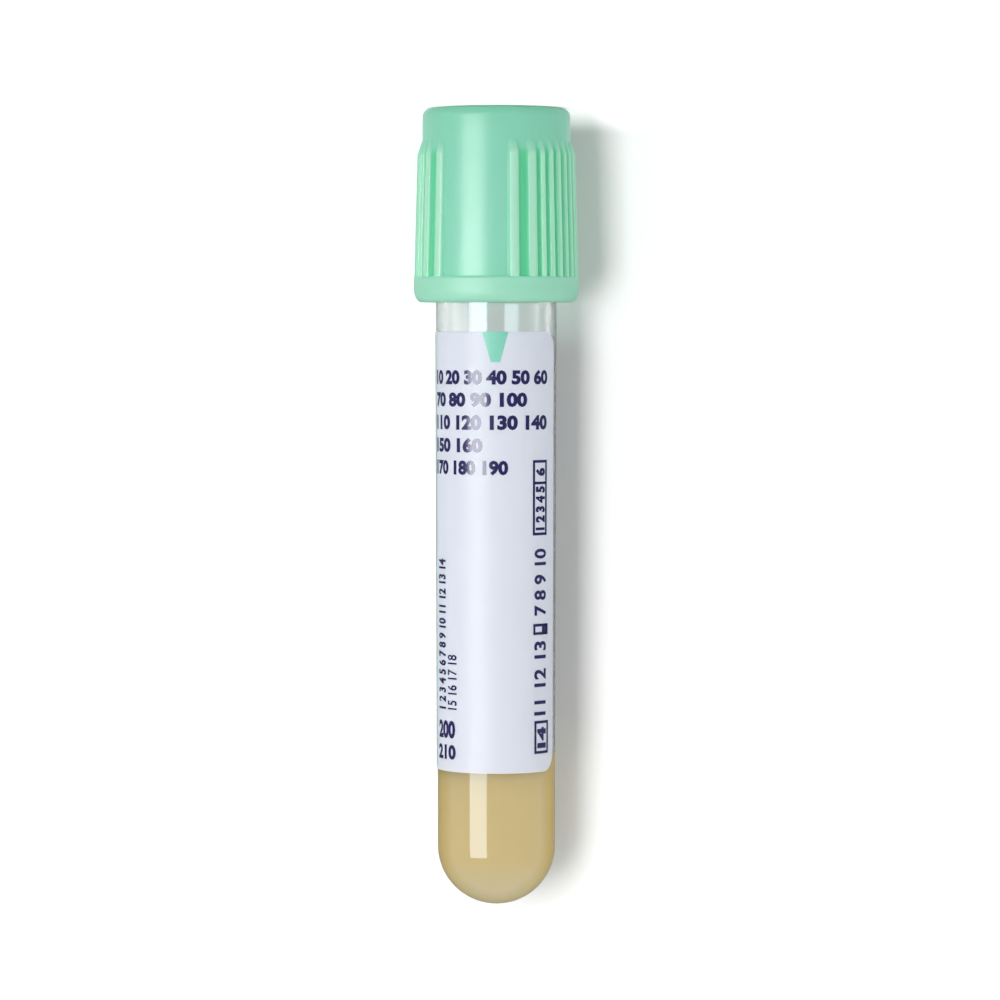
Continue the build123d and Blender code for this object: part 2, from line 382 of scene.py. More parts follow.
opaque_outside, tube_only, stage_only = [bpy.data.collections.new(name) for name in
                                         ("neither_gel_nor_tube", "tube_only", "stage_only")]
main_box = soft_box("soft_box", 0.25, opaque_outside)
main_box.visible_transmission = False
gloss_box = soft_box("soft_box_for_gloss", 2.1, opaque_outside, step=1)
gloss_box.visible_diffuse = gloss_box.visible_transmission = False
tube_box = soft_box("soft_box_for_the_tube", 0.38, tube_only, tall=TUBE_BOX_HEIGHT, step=-1)
tube_box.data.color = COOL_TINT
tube_box.visible_diffuse = False
soft_box("soft_box_for_the_stage", 1.05, stage_only, turn=STAGE_BOX_TURN, width=STAGE_BOX_WIDTH)

# %% [markdown]
# The surround is the world itself. It could be a picture of a studio, but an even white is plainer and
# changes no colour. The camera sees it as full white, whatever its strength as a light.

# %% Surround
bpy.context.scene.view_settings.view_transform = "Standard"
SURROUND = 0.72                   # the surround's strength as a light
world = bpy.data.worlds.new("surround")
bpy.context.scene.world = world
surround = Shading(world)
sky = surround.tree.nodes["Background"]
sky.inputs["Color"].default_value = WHITE
white = surround.node("ShaderNodeBackground", None, WHITE)
shown = surround.node("ShaderNodeMixShader", None, surround.ray("Camera"), Wire(surround, sky.outputs[0]),
                      white)
surround.tree.links.new(shown.socket, surround.tree.nodes["World Output"].inputs["Surface"])
print("surround", SURROUND)

# %% [markdown]
# Glossy pieces show what stands round them. Behind the object there is no bright studio wall, so for
# reflected rays alone the surround is darker in that direction. It keeps the sides of the closure from
# washing out, because a surface seen nearly edge-on reflects most.

# %% Darker behind, for reflections
BEHIND = 0.3                      # share of the surround's light that a reflection finds behind the object
SIDE, BACK = 0.1, 0.7             # how far towards the back the darkening begins and is complete
direction = surround.node("ShaderNodeTexCoord", output="Generated")
toward_back = surround.node("ShaderNodeSeparateXYZ", None, direction, output="Y")
darkened = surround.ray("Glossy") * surround.ramp(toward_back, SIDE, BACK)
strength = surround.ramp(darkened, 0.0, 1.0, SURROUND, SURROUND * BEHIND)
surround.tree.links.new(strength.socket, sky.inputs["Strength"])
print("behind, for reflections", round(SURROUND * BEHIND, 3))

# %% [markdown]
# The stage is a floor and a sheet of white close behind the object, which catches its soft shadow. Both are
# pale surfaces under a lamp of their own, and a glow that only the camera and mirror-like rays see makes up
# what is missing to white. The floor needs most of it, and so does the foot of the backdrop, where the two
# meet; higher up the lamp is nearly enough.

# %% Floor and backdrop
STAGE_HALF, BACKDROP_TOP = 1.5, 0.5
FLOOR_Z = -0.02 * MM              # a hair under the closure, so that the two faces aren't in one plane
BACKDROP_Y = shield_high.y + 0.25 * MM
STAGE_WHITE = (0.74, 0.74, 0.74, 1)
FOOT = 2.5 * MM                   # height over which the glow changes from that at the foot
IN_MIRRORS = 0.4                  # share of the glow that is seen in gloss and through the clear wall


def stage_plane(name, near, far, glow, foot_glow, bounces):
    """A flat white surface between two edges, each given as (y, z). It shows shadows, with some glow for
    the camera so that unshaded ground reads white, and it is clear from behind. One that doesn't bounce
    light is left out of reflections too."""
    mesh = bpy.data.meshes.new(name)
    corners = [(-STAGE_HALF, *near), (STAGE_HALF, *near), (STAGE_HALF, *far), (-STAGE_HALF, *far)]
    mesh.from_pydata(corners, [], [(0, 1, 2, 3)])
    plane = bpy.data.objects.new(name, mesh)
    bpy.context.scene.collection.objects.link(plane)
    ground = Finish(name + "_white", Base_Color=STAGE_WHITE, Roughness=1.0, Specular_IOR_Level=0.0,
                    Emission_Strength=1.0)
    lift = ground.ramp(ground.height(), 0.0, FOOT, foot_glow, glow, "SMOOTHSTEP")
    lift = lift * (ground.ray("Camera") + ground.ray("Glossy") * IN_MIRRORS)
    ground.drive("Emission Color", ground.node("ShaderNodeCombineColor", None, *[lift] * 3))
    ground.clear_where(ground.node("ShaderNodeNewGeometry", output="Backfacing"))
    wear(plane, ground)
    plane.visible_shadow = False
    plane.visible_diffuse = plane.visible_glossy = bounces
    stage_only.objects.link(plane)


stage_plane("floor", (-STAGE_HALF, FLOOR_Z), (STAGE_HALF, FLOOR_Z),
            glow=0.55, foot_glow=0.55, bounces=True)
stage_plane("backdrop", (BACKDROP_Y, 0), (BACKDROP_Y, BACKDROP_TOP),
            glow=0.02, foot_glow=0.5, bounces=False)
print("backdrop", round(BACKDROP_Y / MM, 2), "mm behind the axis")

# %% [markdown]
# ## The closure's finish
# The shield is moulded polypropylene: a satin gloss over a plastic that lets a little light in. Part of the
# light and shade on its ribs is painted into its colour: painted shade makes the grooves between ribs deep
# and saturated, and a painted highlight makes the crests and the rim band pale. The shield's mesh carries how
# deep each point lies between the ribs, and the colour follows that number.

# %% Mint plastic
# The pale mint is a painted highlight for the crests and the rim band. The deep mint is both random tone and
# painted shade in the grooves.
MINT, MINT_PAINTED_HIGHLIGHT, MINT_DEEP_MOTTLE_AND_GROOVE_SHADE = colour("#90DEC3"), colour("#B4EFD2"), colour("#66DAA4")

mint_plastic = Finish("mint_plastic", Specular_IOR_Level=0.34, Subsurface_Weight=0.3,
                      Subsurface_Scale=1.5 * MM, Subsurface_Radius=(0.7, 1.0, 0.8))
mint_plastic.shader.subsurface_method = "BURLEY"
painted_groove_shade, crest, rim = [mint_plastic.node("ShaderNodeAttribute", {"attribute_name": name}, output="Fac")
                      for name in ("painted_groove_shade", "crest", "rim")]
cloud = mint_plastic.noise(4 * MM)
wall_colour = mint_plastic.mix(cloud * 0.15, MINT, MINT_DEEP_MOTTLE_AND_GROOVE_SHADE)
# Painted highlight: the crests and the rim band turn pale mint.
wall_colour = mint_plastic.mix(crest, wall_colour, MINT_PAINTED_HIGHLIGHT)
# Painted shade: the deeper a point lies in a groove, the more of the deep mint it takes.
mint_plastic.drive("Base Color", mint_plastic.mix(painted_groove_shade, wall_colour, MINT_DEEP_MOTTLE_AND_GROOVE_SHADE))
mint_plastic.drive("Roughness", cloud * 0.06 + 0.26 + rim * 0.2)
print("mint plastic", len(mint_plastic.tree.nodes), "nodes")

# %% [markdown]
# ## The shield
# The real shield is one moulding. Its surface here is one grid: round the axis, and along a closed profile
# that runs over the top ring, down the ribbed outside, round the lip, up the skirt's inside and back to the
# needle port. The ribs are a height added to the radius. A rib's section is a rounded ridge, and near its
# top the ridge sinks into the wall, which gives it the pointed tip of a real moulded rib.

# %% Shield profile
CLOSURE_HEIGHT, RIM_RADIUS = shield_high.z, shield_high.x
RING_RADIUS = RIM_RADIUS - 0.95 * MM
PANEL_FOOT_RADIUS = RIM_RADIUS - 0.55 * MM
RIM_BAND_Z = CLOSURE_HEIGHT - 2.8 * MM
PORT_RADIUS = 4.2 * MM
TOP_THICKNESS = stopper_low.z
SHIELD_BORE = RING_RADIUS - 1.2 * MM
SKIRT_RADIUS, SKIRT_LIP_RADIUS = 7.5 * MM, 7.9 * MM
SKIRT_Z = RIM_Z - 0.4 * MM
RIB_START, RIB_RAMP, RIB_HEIGHT = 3.5 * MM, 1.6 * MM, 0.5 * MM
RAMP_END = RIB_START + 1.2 * RIB_RAMP     # below this the ribs are even, so few rows are needed
LIP_HEIGHT, LIP_DEPTH = 1.6 * MM, 0.85 * MM
RIDGE_Z, RIDGE_HALF, RIDGE_HEIGHT = 8.6 * MM, 0.6 * MM, 0.4 * MM

top = rounded([(PORT_RADIUS, TOP_THICKNESS, 0), (PORT_RADIUS, 0, 0.3 * MM), (RING_RADIUS, 0, 1.0 * MM),
               (RING_RADIUS, RIB_START, 0)], 8)
ribbed_z = np.concatenate([np.linspace(RIB_START, RAMP_END, 14)[1:],
                           np.linspace(RAMP_END, RIM_BAND_Z, 7)[1:]])
lean = (PANEL_FOOT_RADIUS - RING_RADIUS) / (RIM_BAND_Z - RIB_START)
ribbed = np.stack([RING_RADIUS + lean * (ribbed_z - RIB_START), ribbed_z], 1)
band = rounded([(PANEL_FOOT_RADIUS, RIM_BAND_Z, 0), (RIM_RADIUS, RIM_BAND_Z, 0.28 * MM),
                (RIM_RADIUS, CLOSURE_HEIGHT - LIP_HEIGHT, 0)], 6)[1:]
turn = np.radians(np.linspace(0, 90, 13))[1:]
lip = np.stack([RIM_RADIUS - LIP_DEPTH * (1 - np.cos(turn)),
                CLOSURE_HEIGHT - LIP_HEIGHT * (1 - np.sin(turn))], 1)
inside = rounded([(RIM_RADIUS - LIP_DEPTH, CLOSURE_HEIGHT, 0),
                  (SKIRT_LIP_RADIUS, CLOSURE_HEIGHT, 0.08 * MM),
                  (SKIRT_RADIUS, SKIRT_Z, 0.2 * MM),
                  (SHIELD_BORE, SKIRT_Z, 0.1 * MM),
                  (SHIELD_BORE, RIDGE_Z + RIDGE_HALF, 0.1 * MM),
                  (SHIELD_BORE - RIDGE_HEIGHT, RIDGE_Z, 0.2 * MM),
                  (SHIELD_BORE, RIDGE_Z - RIDGE_HALF, 0.1 * MM),
                  (SHIELD_BORE, TOP_THICKNESS, 0.1 * MM),
                  (PORT_RADIUS, TOP_THICKNESS, 0)], 4)[1:-1]
shield_profile = np.concatenate([top, ribbed, band, lip, inside])
print("shield profile", len(shield_profile), "points")

# %% [markdown]
# A closure is ribbed where fingers grip it, on two opposite sides, with a smooth panel between them. Each
# side has ten fine ribs, then two wider ones towards each panel. Modelling one rib and copying it would
# leave seams, so all of them are one formula that says how far the wall stands out at any place.

# %% Ribs
FINE_RIBS, FINE_PITCH = 10, 8.2           # the pitch is in degrees
WIDE_RIB_TURNS = (-60.3, -46.2, 46.2, 60.3)
FINE_HALVES, WIDE_HALVES = (0.5, 0.2), (0.7, 0.42)      # half a rib's foot and half its crest, in mm
PANEL_TURN = -16.6                        # degrees from the front to the middle of the front panel
RIB_SIDES = (90, 270)                     # a ribbed side's middle, in degrees from the panel's middle
CREST_ROUND = 0.15                        # share of a rib's height by which its crest is rounded
# Each rib is its angle from the middle of its side, and its two halves.
side_ribs = [((number - (FINE_RIBS - 1) / 2) * FINE_PITCH, *FINE_HALVES) for number in range(FINE_RIBS)]
side_ribs += [(turn, *WIDE_HALVES) for turn in WIDE_RIB_TURNS]
print("ribs", len(RIB_SIDES) * len(side_ribs))


def from_front(degrees):
    """The polar angle of a direction so many degrees round from the front, to the right as seen with the
    closure up."""
    return np.radians(270 - degrees)


def turn_between(angle, centre):
    """The angle between two directions, the short way round."""
    return np.abs((angle - centre + math.pi) % (2 * math.pi) - math.pi)


def rib_height(angle, z):
    """How far the ribs stand out at each polar angle and height: a smooth ridge, 1 at its crest and 0 at
    its foot, times the rib height, less the depth by which it sinks near its tip."""
    height = np.zeros(np.broadcast(angle, z).shape)
    sunk = RIB_HEIGHT * np.clip(1 - (z - RIB_START) / RIB_RAMP, 0, 1)
    for middle in RIB_SIDES:
        for turn, foot, crest in side_ribs:
            away = turn_between(angle, from_front(PANEL_TURN + middle + turn)) * PANEL_FOOT_RADIUS / MM
            rise = np.clip((foot - away) / (foot - crest), 0, 1)
            smooth = rise * rise * (3 - 2 * rise)
            ridge = smooth * (1 - CREST_ROUND * (np.minimum(away, crest) / crest) ** 2)
            height = np.maximum(height, RIB_HEIGHT * ridge - sunk)
    return height


# %% [markdown]
# The grid's columns are close together on the ribbed sides and far apart on the smooth panels. Only the
# outside between the top ring and the rim band takes the ribs.

# %% Shield surface
PANEL_STEP, RIB_STEP = 3.0, 0.36          # degrees between columns
RIBBED_HALF = 68.0                        # degrees each way from the middle of a ribbed side
columns = []
for middle in RIB_SIDES:
    columns.append(np.arange(middle - RIBBED_HALF, middle + RIBBED_HALF, RIB_STEP))
    columns.append(np.arange(middle + RIBBED_HALF, middle + 180 - RIBBED_HALF, PANEL_STEP))
angle = from_front(PANEL_TURN + np.concatenate(columns))[None, :]
radius, height = shield_profile[:, :1], shield_profile[:, 1:]
outside = np.zeros(len(shield_profile), bool)
outside[len(top) - 1:len(top) + len(ribbed) + len(band)] = True
ribbed_height = np.clip(height, RIB_START, RIM_BAND_Z)
wall = RING_RADIUS + lean * (ribbed_height - RIB_START)
relief = rib_height(angle, ribbed_height)
radius = np.where(outside[:, None], np.maximum(radius, wall + relief), radius + 0 * angle)
shield = piece_from_grid("closure_shield", around(angle, radius, height), "closure", ["shield"],
                         loop_rows=True)

# %% [markdown]
# The plastic's colour follows three numbers on the shield's points: how deep in a groove a point lies, how
# high on a crest, and whether it is on the rim band. The first gives painted shade and the second a painted
# highlight, to which the rim band's painted light is added. The third only makes the rim band rougher. They
# are worked out from each point's own place, so the order of the points in the mesh doesn't matter.

# %% Grooves, crests and rim band
# The painted groove shade begins below the ribs' tips and ends past the last rib.
GROOVE_TOP, GROOVE_FADE = 0.9 * MM, 0.8 * MM      # the deep colour begins below the ribs' tips
OUTER_RIB, SIDE_FADE = WIDE_RIB_TURNS[-1], 2.0    # degrees; beyond the last rib there is no groove
RIM_FADE = 0.3 * MM
# How far painted light pales the rim band, and how the painted crest highlight gathers towards the crest
# tops.
RIM_PAINTED_LIGHT, CREST_POWER = 0.45, 1.5
SLACK, WALL_SLACK = 0.01 * MM, 0.05 * MM          # how far a point may be off the band's edge and the wall

place = np.zeros(len(shield.data.vertices) * 3)
shield.data.vertices.foreach_get("co", place)
x, y, z = place.reshape(-1, 3).T
point_angle, point_radius = np.arctan2(y, x), np.hypot(x, y)
away = np.min([turn_between(point_angle, from_front(PANEL_TURN + middle)) for middle in RIB_SIDES], axis=0)
between_ribs = np.clip((OUTER_RIB - np.degrees(away)) / SIDE_FADE, 0, 1)
stands = np.clip((point_radius - RING_RADIUS - lean * (z - RIB_START)) / RIB_HEIGHT, 0, 1)
outer = (z > RIB_START) & (z < RIM_BAND_Z + SLACK) & (point_radius > RING_RADIUS - WALL_SLACK)
below_tips = np.clip((z - RIB_START - GROOVE_TOP) / GROOVE_FADE, 0, 1)
rim_band = np.clip((z - RIM_BAND_Z) / RIM_FADE, 0, 1) * (point_radius > SKIRT_LIP_RADIUS)
for name, value in (("painted_groove_shade", np.where(outer, (1 - stands) * between_ribs * below_tips, 0)),
                    ("crest", np.where(outer, stands ** CREST_POWER, 0) + RIM_PAINTED_LIGHT * rim_band),
                    ("rim", rim_band)):
    shield.data.attributes.new(name, "FLOAT", "POINT").data.foreach_set("value", value)
    print(name, "reaches", round(value.max(), 2))
wear(shield, mint_plastic)

# %% [markdown]
# ## The stopper
# Grey-green butyl rubber, matt and faintly dusty. It has a head that snaps into the shield, a well that
# takes the needle, a seat for the tube's rim and a hollow plug with sealing rings. The CAD has all of that
# in its true form, so the surface is the same profile, with softer edges.

# %% Grey-green rubber
rubber = Finish("stopper_rubber", Specular_IOR_Level=0.35)
rubber.drive("Base Color", rubber.mottle(1.5 * MM, "#5F7F72", "#6E8C7F"))
rubber.drive("Roughness", rubber.noise(0.5 * MM) * 0.2 + 0.52)
rubber.bump(rubber.noise(0.12 * MM, 4.0), depth=0.01 * MM, strength=0.6)
print("rubber", len(rubber.tree.nodes), "nodes")

# %% [markdown]
# The profile has three stretches. The head goes from the well's floor out to the tube's seat, with a groove
# for the shield's ridge. The ringed side is a run of points, pushed out in a smooth hump at each ring. The
# end goes round the plug's tip and up into its cavity, which has a round roof.

# %% Stopper surface
HEAD_RADIUS = stopper_high.x
NECK_RADIUS = HEAD_RADIUS - RIDGE_HEIGHT
NECK_MOUTH, NECK_FLOOR = 0.85 * MM, 0.45 * MM     # half the groove's height, outside and at its bottom
WELL_RADIUS, WELL_FLOOR_Z = 3.9 * MM, TOP_THICKNESS + 5.0 * MM
CAVITY_ROOF_Z, CAVITY_RADIUS = WELL_FLOOR_Z + 4.4 * MM, 2.67 * MM
PLUG_END_Z, PLUG_ROOT_RADIUS = stopper_high.z, 5.27 * MM
RING_COUNT, RING_STANDOUT, RING_HALF = 3, 0.28 * MM, 0.75 * MM
FIRST_RING_Z, RING_PITCH = RIM_Z + 2.0 * MM, 2.2 * MM
EDGE = 0.15 * MM

head = rounded([(0, WELL_FLOOR_Z, 0),
                (WELL_RADIUS, WELL_FLOOR_Z, 1.6 * MM),
                (WELL_RADIUS, TOP_THICKNESS, 0.25 * MM),
                (HEAD_RADIUS, TOP_THICKNESS, 0.5 * MM),
                (HEAD_RADIUS, RIDGE_Z - NECK_MOUTH, EDGE),
                (NECK_RADIUS, RIDGE_Z - NECK_FLOOR, EDGE),
                (NECK_RADIUS, RIDGE_Z + NECK_FLOOR, EDGE),
                (HEAD_RADIUS, RIDGE_Z + NECK_MOUTH, EDGE),
                (HEAD_RADIUS, RIM_Z, 0.05 * MM),
                (PLUG_ROOT_RADIUS, RIM_Z, EDGE),
                (PLUG_ROOT_RADIUS, RIM_Z + 0.6 * MM, 0)])
ring_z = np.linspace(RIM_Z + 0.7 * MM, RIM_Z + 7.8 * MM, 60)
bulge = sum(np.clip(1 - ((ring_z - FIRST_RING_Z - ring * RING_PITCH) / RING_HALF) ** 2, 0, 1)
            for ring in range(RING_COUNT))
rings = np.stack([PLUG_ROOT_RADIUS + RING_STANDOUT * bulge, ring_z], 1)
end = rounded([(PLUG_ROOT_RADIUS, RIM_Z + 7.9 * MM, 0),
               (PLUG_ROOT_RADIUS, PLUG_END_Z, 0.6 * MM),
               (CAVITY_RADIUS, PLUG_END_Z, EDGE),
               (CAVITY_RADIUS, CAVITY_ROOF_Z + CAVITY_RADIUS, 0)])
roof = arc(CAVITY_ROOF_Z + CAVITY_RADIUS, CAVITY_RADIUS, 0, -90, 12)[1:]
stopper = turned("stopper_rubber", np.concatenate([head, rings, end, roof]), "closure",
                 ["stopper"])
wear(stopper, rubber)

# %% [markdown]
# ## The tube
# Clear moulded plastic about a millimetre thick. It bends light, so its bore looks wider than it is and
# its edges draw thin dark and bright lines. The dark line near each edge, where no gel lies behind, is partly
# painted shade: the wall's colour turns grey where the wall is seen nearly edge-on, short of the limb itself.
# A thin smooth coat makes its gloss. Light has to reach what is inside, and a path tracer can't aim at a lamp
# through a bending surface, so for shadow rays and for the soft light scattered by what is inside, the wall
# is taken as clear.

# %% Clear plastic
clear_plastic = Finish("clear_plastic", Roughness=0.0, IOR=1.57, Transmission_Weight=1.0, Coat_IOR=1.9,
                       Coat_Roughness=0.07)
edge_on = clear_plastic.node("ShaderNodeLayerWeight", None, Blend=0.5, output="Facing")
at_edge, at_limb = edge_on.past(0.4, 6.0), edge_on.past(0.69, 14.0)
hollow = clear_plastic.ramp(clear_plastic.height(), gel_low.z - 1 * MM, gel_low.z, 1.0, 0.0)
painted_edge_shade = at_edge * (1 - at_limb) * hollow
# Painted shade: a grey edge line in the wall's colour, only where the wall has no gel behind it.
clear_plastic.drive("Base Color", clear_plastic.mix(painted_edge_shade, colour("#F6FAF9"), colour("#CCD3D2")))
clear_plastic.drive("Coat Weight", 1 - at_edge)
open_way = clear_plastic.ray("Shadow") * (1 - at_edge * 0.6) + clear_plastic.ray("Diffuse")
clear_plastic.clear_where(open_way, colour("#EEF6F3"))
print("clear plastic", len(clear_plastic.tree.nodes), "nodes")

# %% [markdown]
# The tube's wall is one closed profile: over the rim, up the outside and over the dome, and back down the
# inside. A clear piece needs that, because light bends both where it enters the wall and where it leaves.

# %% Tube surface
RIM_ROUND, RIM_RUN = 0.25 * MM, 0.3 * MM
rim_outer = outer_radius(RIM_Z)
rim_inner = rim_outer - TUBE_WALL
side_z = np.linspace(RIM_Z + RIM_RUN, DOME_Z, 30)
tube_rim = rounded([(rim_inner, RIM_Z + RIM_RUN, 0), (rim_inner, RIM_Z, RIM_ROUND),
                    (rim_outer, RIM_Z, RIM_ROUND), (rim_outer, RIM_Z + RIM_RUN, 0)])[1:-1]
outer_side = np.stack([outer_radius(side_z), side_z], 1)
outer_dome = arc(DOME_Z, TUBE_LOW_RADIUS, 0, 90, 40)[1:]
inner_dome = arc(DOME_Z, TUBE_LOW_RADIUS - TUBE_WALL, 90, 0, 40)
inner_side = np.stack([outer_radius(side_z) - TUBE_WALL, side_z], 1)[-2::-1]
tube_profile = np.concatenate([tube_rim, outer_side, outer_dome, inner_dome, inner_side])
tube = turned("clear_tube", tube_profile, "tube_body", ["tube"], closed=True)
wear(tube, clear_plastic)

# %% [markdown]
# ## The gel
# A thick tan gel that fills the round bottom and wets the wall. It is let a hair into the wall, so that no
# film of air shows between them, and its free surface climbs the wall a little, as a wet gel does. Light
# goes far into it, so subsurface scattering gives nearly all of its colour, and it is paler at the tip.

# %% Tan gel
PALE_FROM, PALE_TO = 82 * MM, 87 * MM     # heights between which the gel pales towards the tip

gel_finish = Finish("tan_gel", Roughness=0.35, Specular_IOR_Level=0.05, Subsurface_Weight=1.0,
                    Subsurface_Scale=3.0 * MM, Subsurface_Radius=(1.0, 0.9, 0.65))
gel_finish.shader.subsurface_method = "BURLEY"
near_tip = gel_finish.ramp(gel_finish.height(), PALE_FROM, PALE_TO)
gel_body = gel_finish.mottle(5 * MM, "#F8D386", "#F5CE7E")
gel_finish.drive("Base Color", gel_finish.mix(near_tip, gel_body, colour("#F0D8AA")))
gel_finish.bump(gel_finish.noise(2 * MM), depth=0.02 * MM, strength=0.3)
print("gel", len(gel_finish.tree.nodes), "nodes")

# %% [markdown]
# The gel's outside follows the tube's inside, so both come from `outer_radius`. Across the free surface a
# high power of the radius keeps the middle level and bends only the last stretch to the wall.

# %% Gel surface
WETTING, MENISCUS, MENISCUS_POWER = 0.02 * MM, 0.6 * MM, 6
GEL_TOP_Z = gel_low.z
across = np.linspace(0, 1, 24)
gel_edge = outer_radius(GEL_TOP_Z) - TUBE_WALL + WETTING
free_surface = np.stack([gel_edge * across, GEL_TOP_Z + MENISCUS * (1 - across ** MENISCUS_POWER)], 1)
gel_z = np.linspace(GEL_TOP_Z, DOME_Z, 12)[1:]
gel_side = np.stack([outer_radius(gel_z) - TUBE_WALL + WETTING, gel_z], 1)
gel_dome = arc(DOME_Z, TUBE_LOW_RADIUS - TUBE_WALL + WETTING, 0, 90, 32)[1:]
gel = turned("gel_plug", np.concatenate([free_surface, gel_side, gel_dome]), "tube_body",
             ["separator_gel"])
wear(gel, gel_finish)

# %% [markdown]
# The tube and the gel exist now, so the lamps can be told about them: the tube's own box lights it and
# nothing else, and the main box and the gloss box light all but these two.

# %% Which lamps reach the tube and the gel
tube_only.objects.link(tube)
for piece in (tube, gel):
    opaque_outside.objects.link(piece)
for member in opaque_outside.collection_objects:
    member.light_linking.link_state = "EXCLUDE"

# %% [markdown]
# ## The label
# Coated white paper, wrapped most of the way round so that a bare strip is left at the back. Its corners
# are rounded, and its right edge shows as a thin line just inside the silhouette. Thin paper lets some
# light through, and a little subsurface scattering gives the inside of the tube that glow.

# %% Label paper
paper = Finish("label_paper", Specular_IOR_Level=0.15, Subsurface_Weight=0.4,
               Subsurface_Scale=0.5 * MM, Subsurface_Radius=(1.0, 1.0, 1.0))
paper.shader.subsurface_method = "BURLEY"
fibre = paper.noise(0.15 * MM, 3.0)
paper.drive("Base Color", paper.mix(fibre * 0.35, colour("#E0E4F1"), colour("#E6E9F2")))
paper.drive("Roughness", paper.noise(0.6 * MM) * 0.12 + 0.34)
paper.bump(paper.noise(0.3 * MM, 3.0), depth=0.003 * MM, strength=0.4)
print("paper", len(paper.tree.nodes), "nodes")

# %% [markdown]
# The sheet could be unwrapped and bent, but on a cylinder it is simpler to write each point's angle
# directly: across the sheet the angle runs evenly, and near the top and bottom the sheet is narrower by
# what the round corner takes away.

# %% Label sizes
LABEL_RIGHT, LABEL_WRAP = 70.0, 280.0     # degrees to the right edge from the front, and round the tube
LABEL_CORNER = 2.1 * MM
LABEL_THICKNESS, GLUE_FILM = 0.1 * MM, 0.02 * MM
LABEL_RADIUS = TUBE_RIM_RADIUS - TUBE_DRAFT / 2 + LABEL_THICKNESS
label_middle_z = (label_low.z + label_high.z) / 2
half_height = (label_high.z - label_low.z) / 2
edge_right = math.radians(LABEL_RIGHT) * LABEL_RADIUS
edge_left = edge_right - math.radians(LABEL_WRAP) * LABEL_RADIUS
print("label", round((edge_right - edge_left) / MM, 1), "mm round")


def on_label(right, up, lift):
    """Points on the label: `right` is the arc length from the front, to the right with the closure up,
    and `up` is the height over the middle of the label, both in metres. `lift` is off the tube's wall."""
    z = label_middle_z - up
    radius = outer_radius(z) + lift
    turn = right / LABEL_RADIUS
    return np.stack([-radius * np.sin(turn), -radius * np.cos(turn), z + 0 * right], -1)


# %% [markdown]
# The sheet is made one face thick, at the paper's outside, and Solidify gives it its thickness inwards. It
# stops a hair short of the tube, where the real label has its glue.

# %% Label surface
corner_start = half_height - LABEL_CORNER
corner_turn = np.radians(np.linspace(0, 90, 12))
corner_up = half_height - LABEL_CORNER * (1 - np.sin(corner_turn))
middle_up = np.linspace(-half_height + LABEL_CORNER, corner_start, 40)[1:-1]
label_up = np.concatenate([-corner_up[::-1], middle_up, corner_up])[:, None]
over = np.clip(np.abs(label_up) - corner_start, 0, LABEL_CORNER)
inset = LABEL_CORNER - np.sqrt(LABEL_CORNER ** 2 - over ** 2)
share = np.linspace(0, 1, 181)[None, :]
label_right = (edge_left + inset) * (1 - share) + (edge_right - inset) * share
label = piece_from_grid("label_sheet", on_label(label_right, label_up + 0 * share, LABEL_THICKNESS),
                        "tube_body", ["label"], loop_columns=False)
solid = label.modifiers.new("thickness", "SOLIDIFY")
solid.thickness, solid.offset = LABEL_THICKNESS - GLUE_FILM, -1
wear(label, paper)

# %% [markdown]
# ## The print
# A label like this is crowded with ink: bold rows at the top, small rows up its sides, boxes, and a green
# pointer at its upper edge. Here the rows are plain numbers in counting order. Blender's own font gives the
# outlines. A flat outline can't simply be bent, because its faces are too big, so it is cut into narrow
# strips first, and then each point is wrapped onto the label by its distance to the right.

# %% Ink
inked = {"navy": bmesh.new(), "green": bmesh.new(), "pale": bmesh.new()}


def ink(colour_name, points, faces, right, up, upright=True):
    """Adds flat faces to one colour's ink. Points are (along the row, across the row) in metres; a row that
    isn't upright runs up the label, towards the closure."""
    along, across = np.array(points, float).T[:2]
    place = (right + along, up + across) if upright else (right - across, up + along)
    sheet = inked[colour_name]
    made = [sheet.verts.new((r, u, 0)) for r, u in zip(*place)]
    for face in faces:
        sheet.faces.new([made[corner] for corner in face])


def row(text, height, right, up, width, bold, upright=True):
    """A row of numbers in navy, so high and stretched to so wide, from its lower left corner."""
    letters = bpy.data.curves.new(text, "FONT")
    letters.body, letters.offset, letters.resolution_u = text, bold, 3
    words = bpy.data.objects.new(text, letters)
    mesh = bpy.data.meshes.new_from_object(words)
    flat = np.zeros(len(mesh.vertices) * 3)
    mesh.vertices.foreach_get("co", flat)
    flat = flat.reshape(-1, 3)[:, :2]
    flat -= flat.min(0)
    size = flat.max(0)
    flat *= (width / size[0], height / size[1])
    ink("navy", flat, [tuple(face.vertices) for face in mesh.polygons], right, up, upright)
    bpy.data.objects.remove(words)
    bpy.data.curves.remove(letters)
    bpy.data.meshes.remove(mesh)


def side_row(text, height, right, up, length, bold):
    """A row of numbers that runs up the label."""
    row(text, height, right, up, length, bold, upright=False)


def bar(right, up, width, height, colour_name="navy"):
    """A filled rectangle from its lower left corner."""
    ink(colour_name, [(0, 0), (width, 0), (width, height), (0, height)], [(0, 1, 2, 3)], right, up)


def box(right, up, width, height, line):
    """The outline of a rectangle."""
    bar(right, up, width, line)
    bar(right, up + height - line, width, line)
    bar(right, up + line, line, height - 2 * line)
    bar(right + width - line, up + line, line, height - 2 * line)


# %% [markdown]
# Places on the label are distances to the right of its front and up from its middle. The bold rows share a
# left edge and a pitch, and each is stretched to its own right end. Two rows run up the left side.

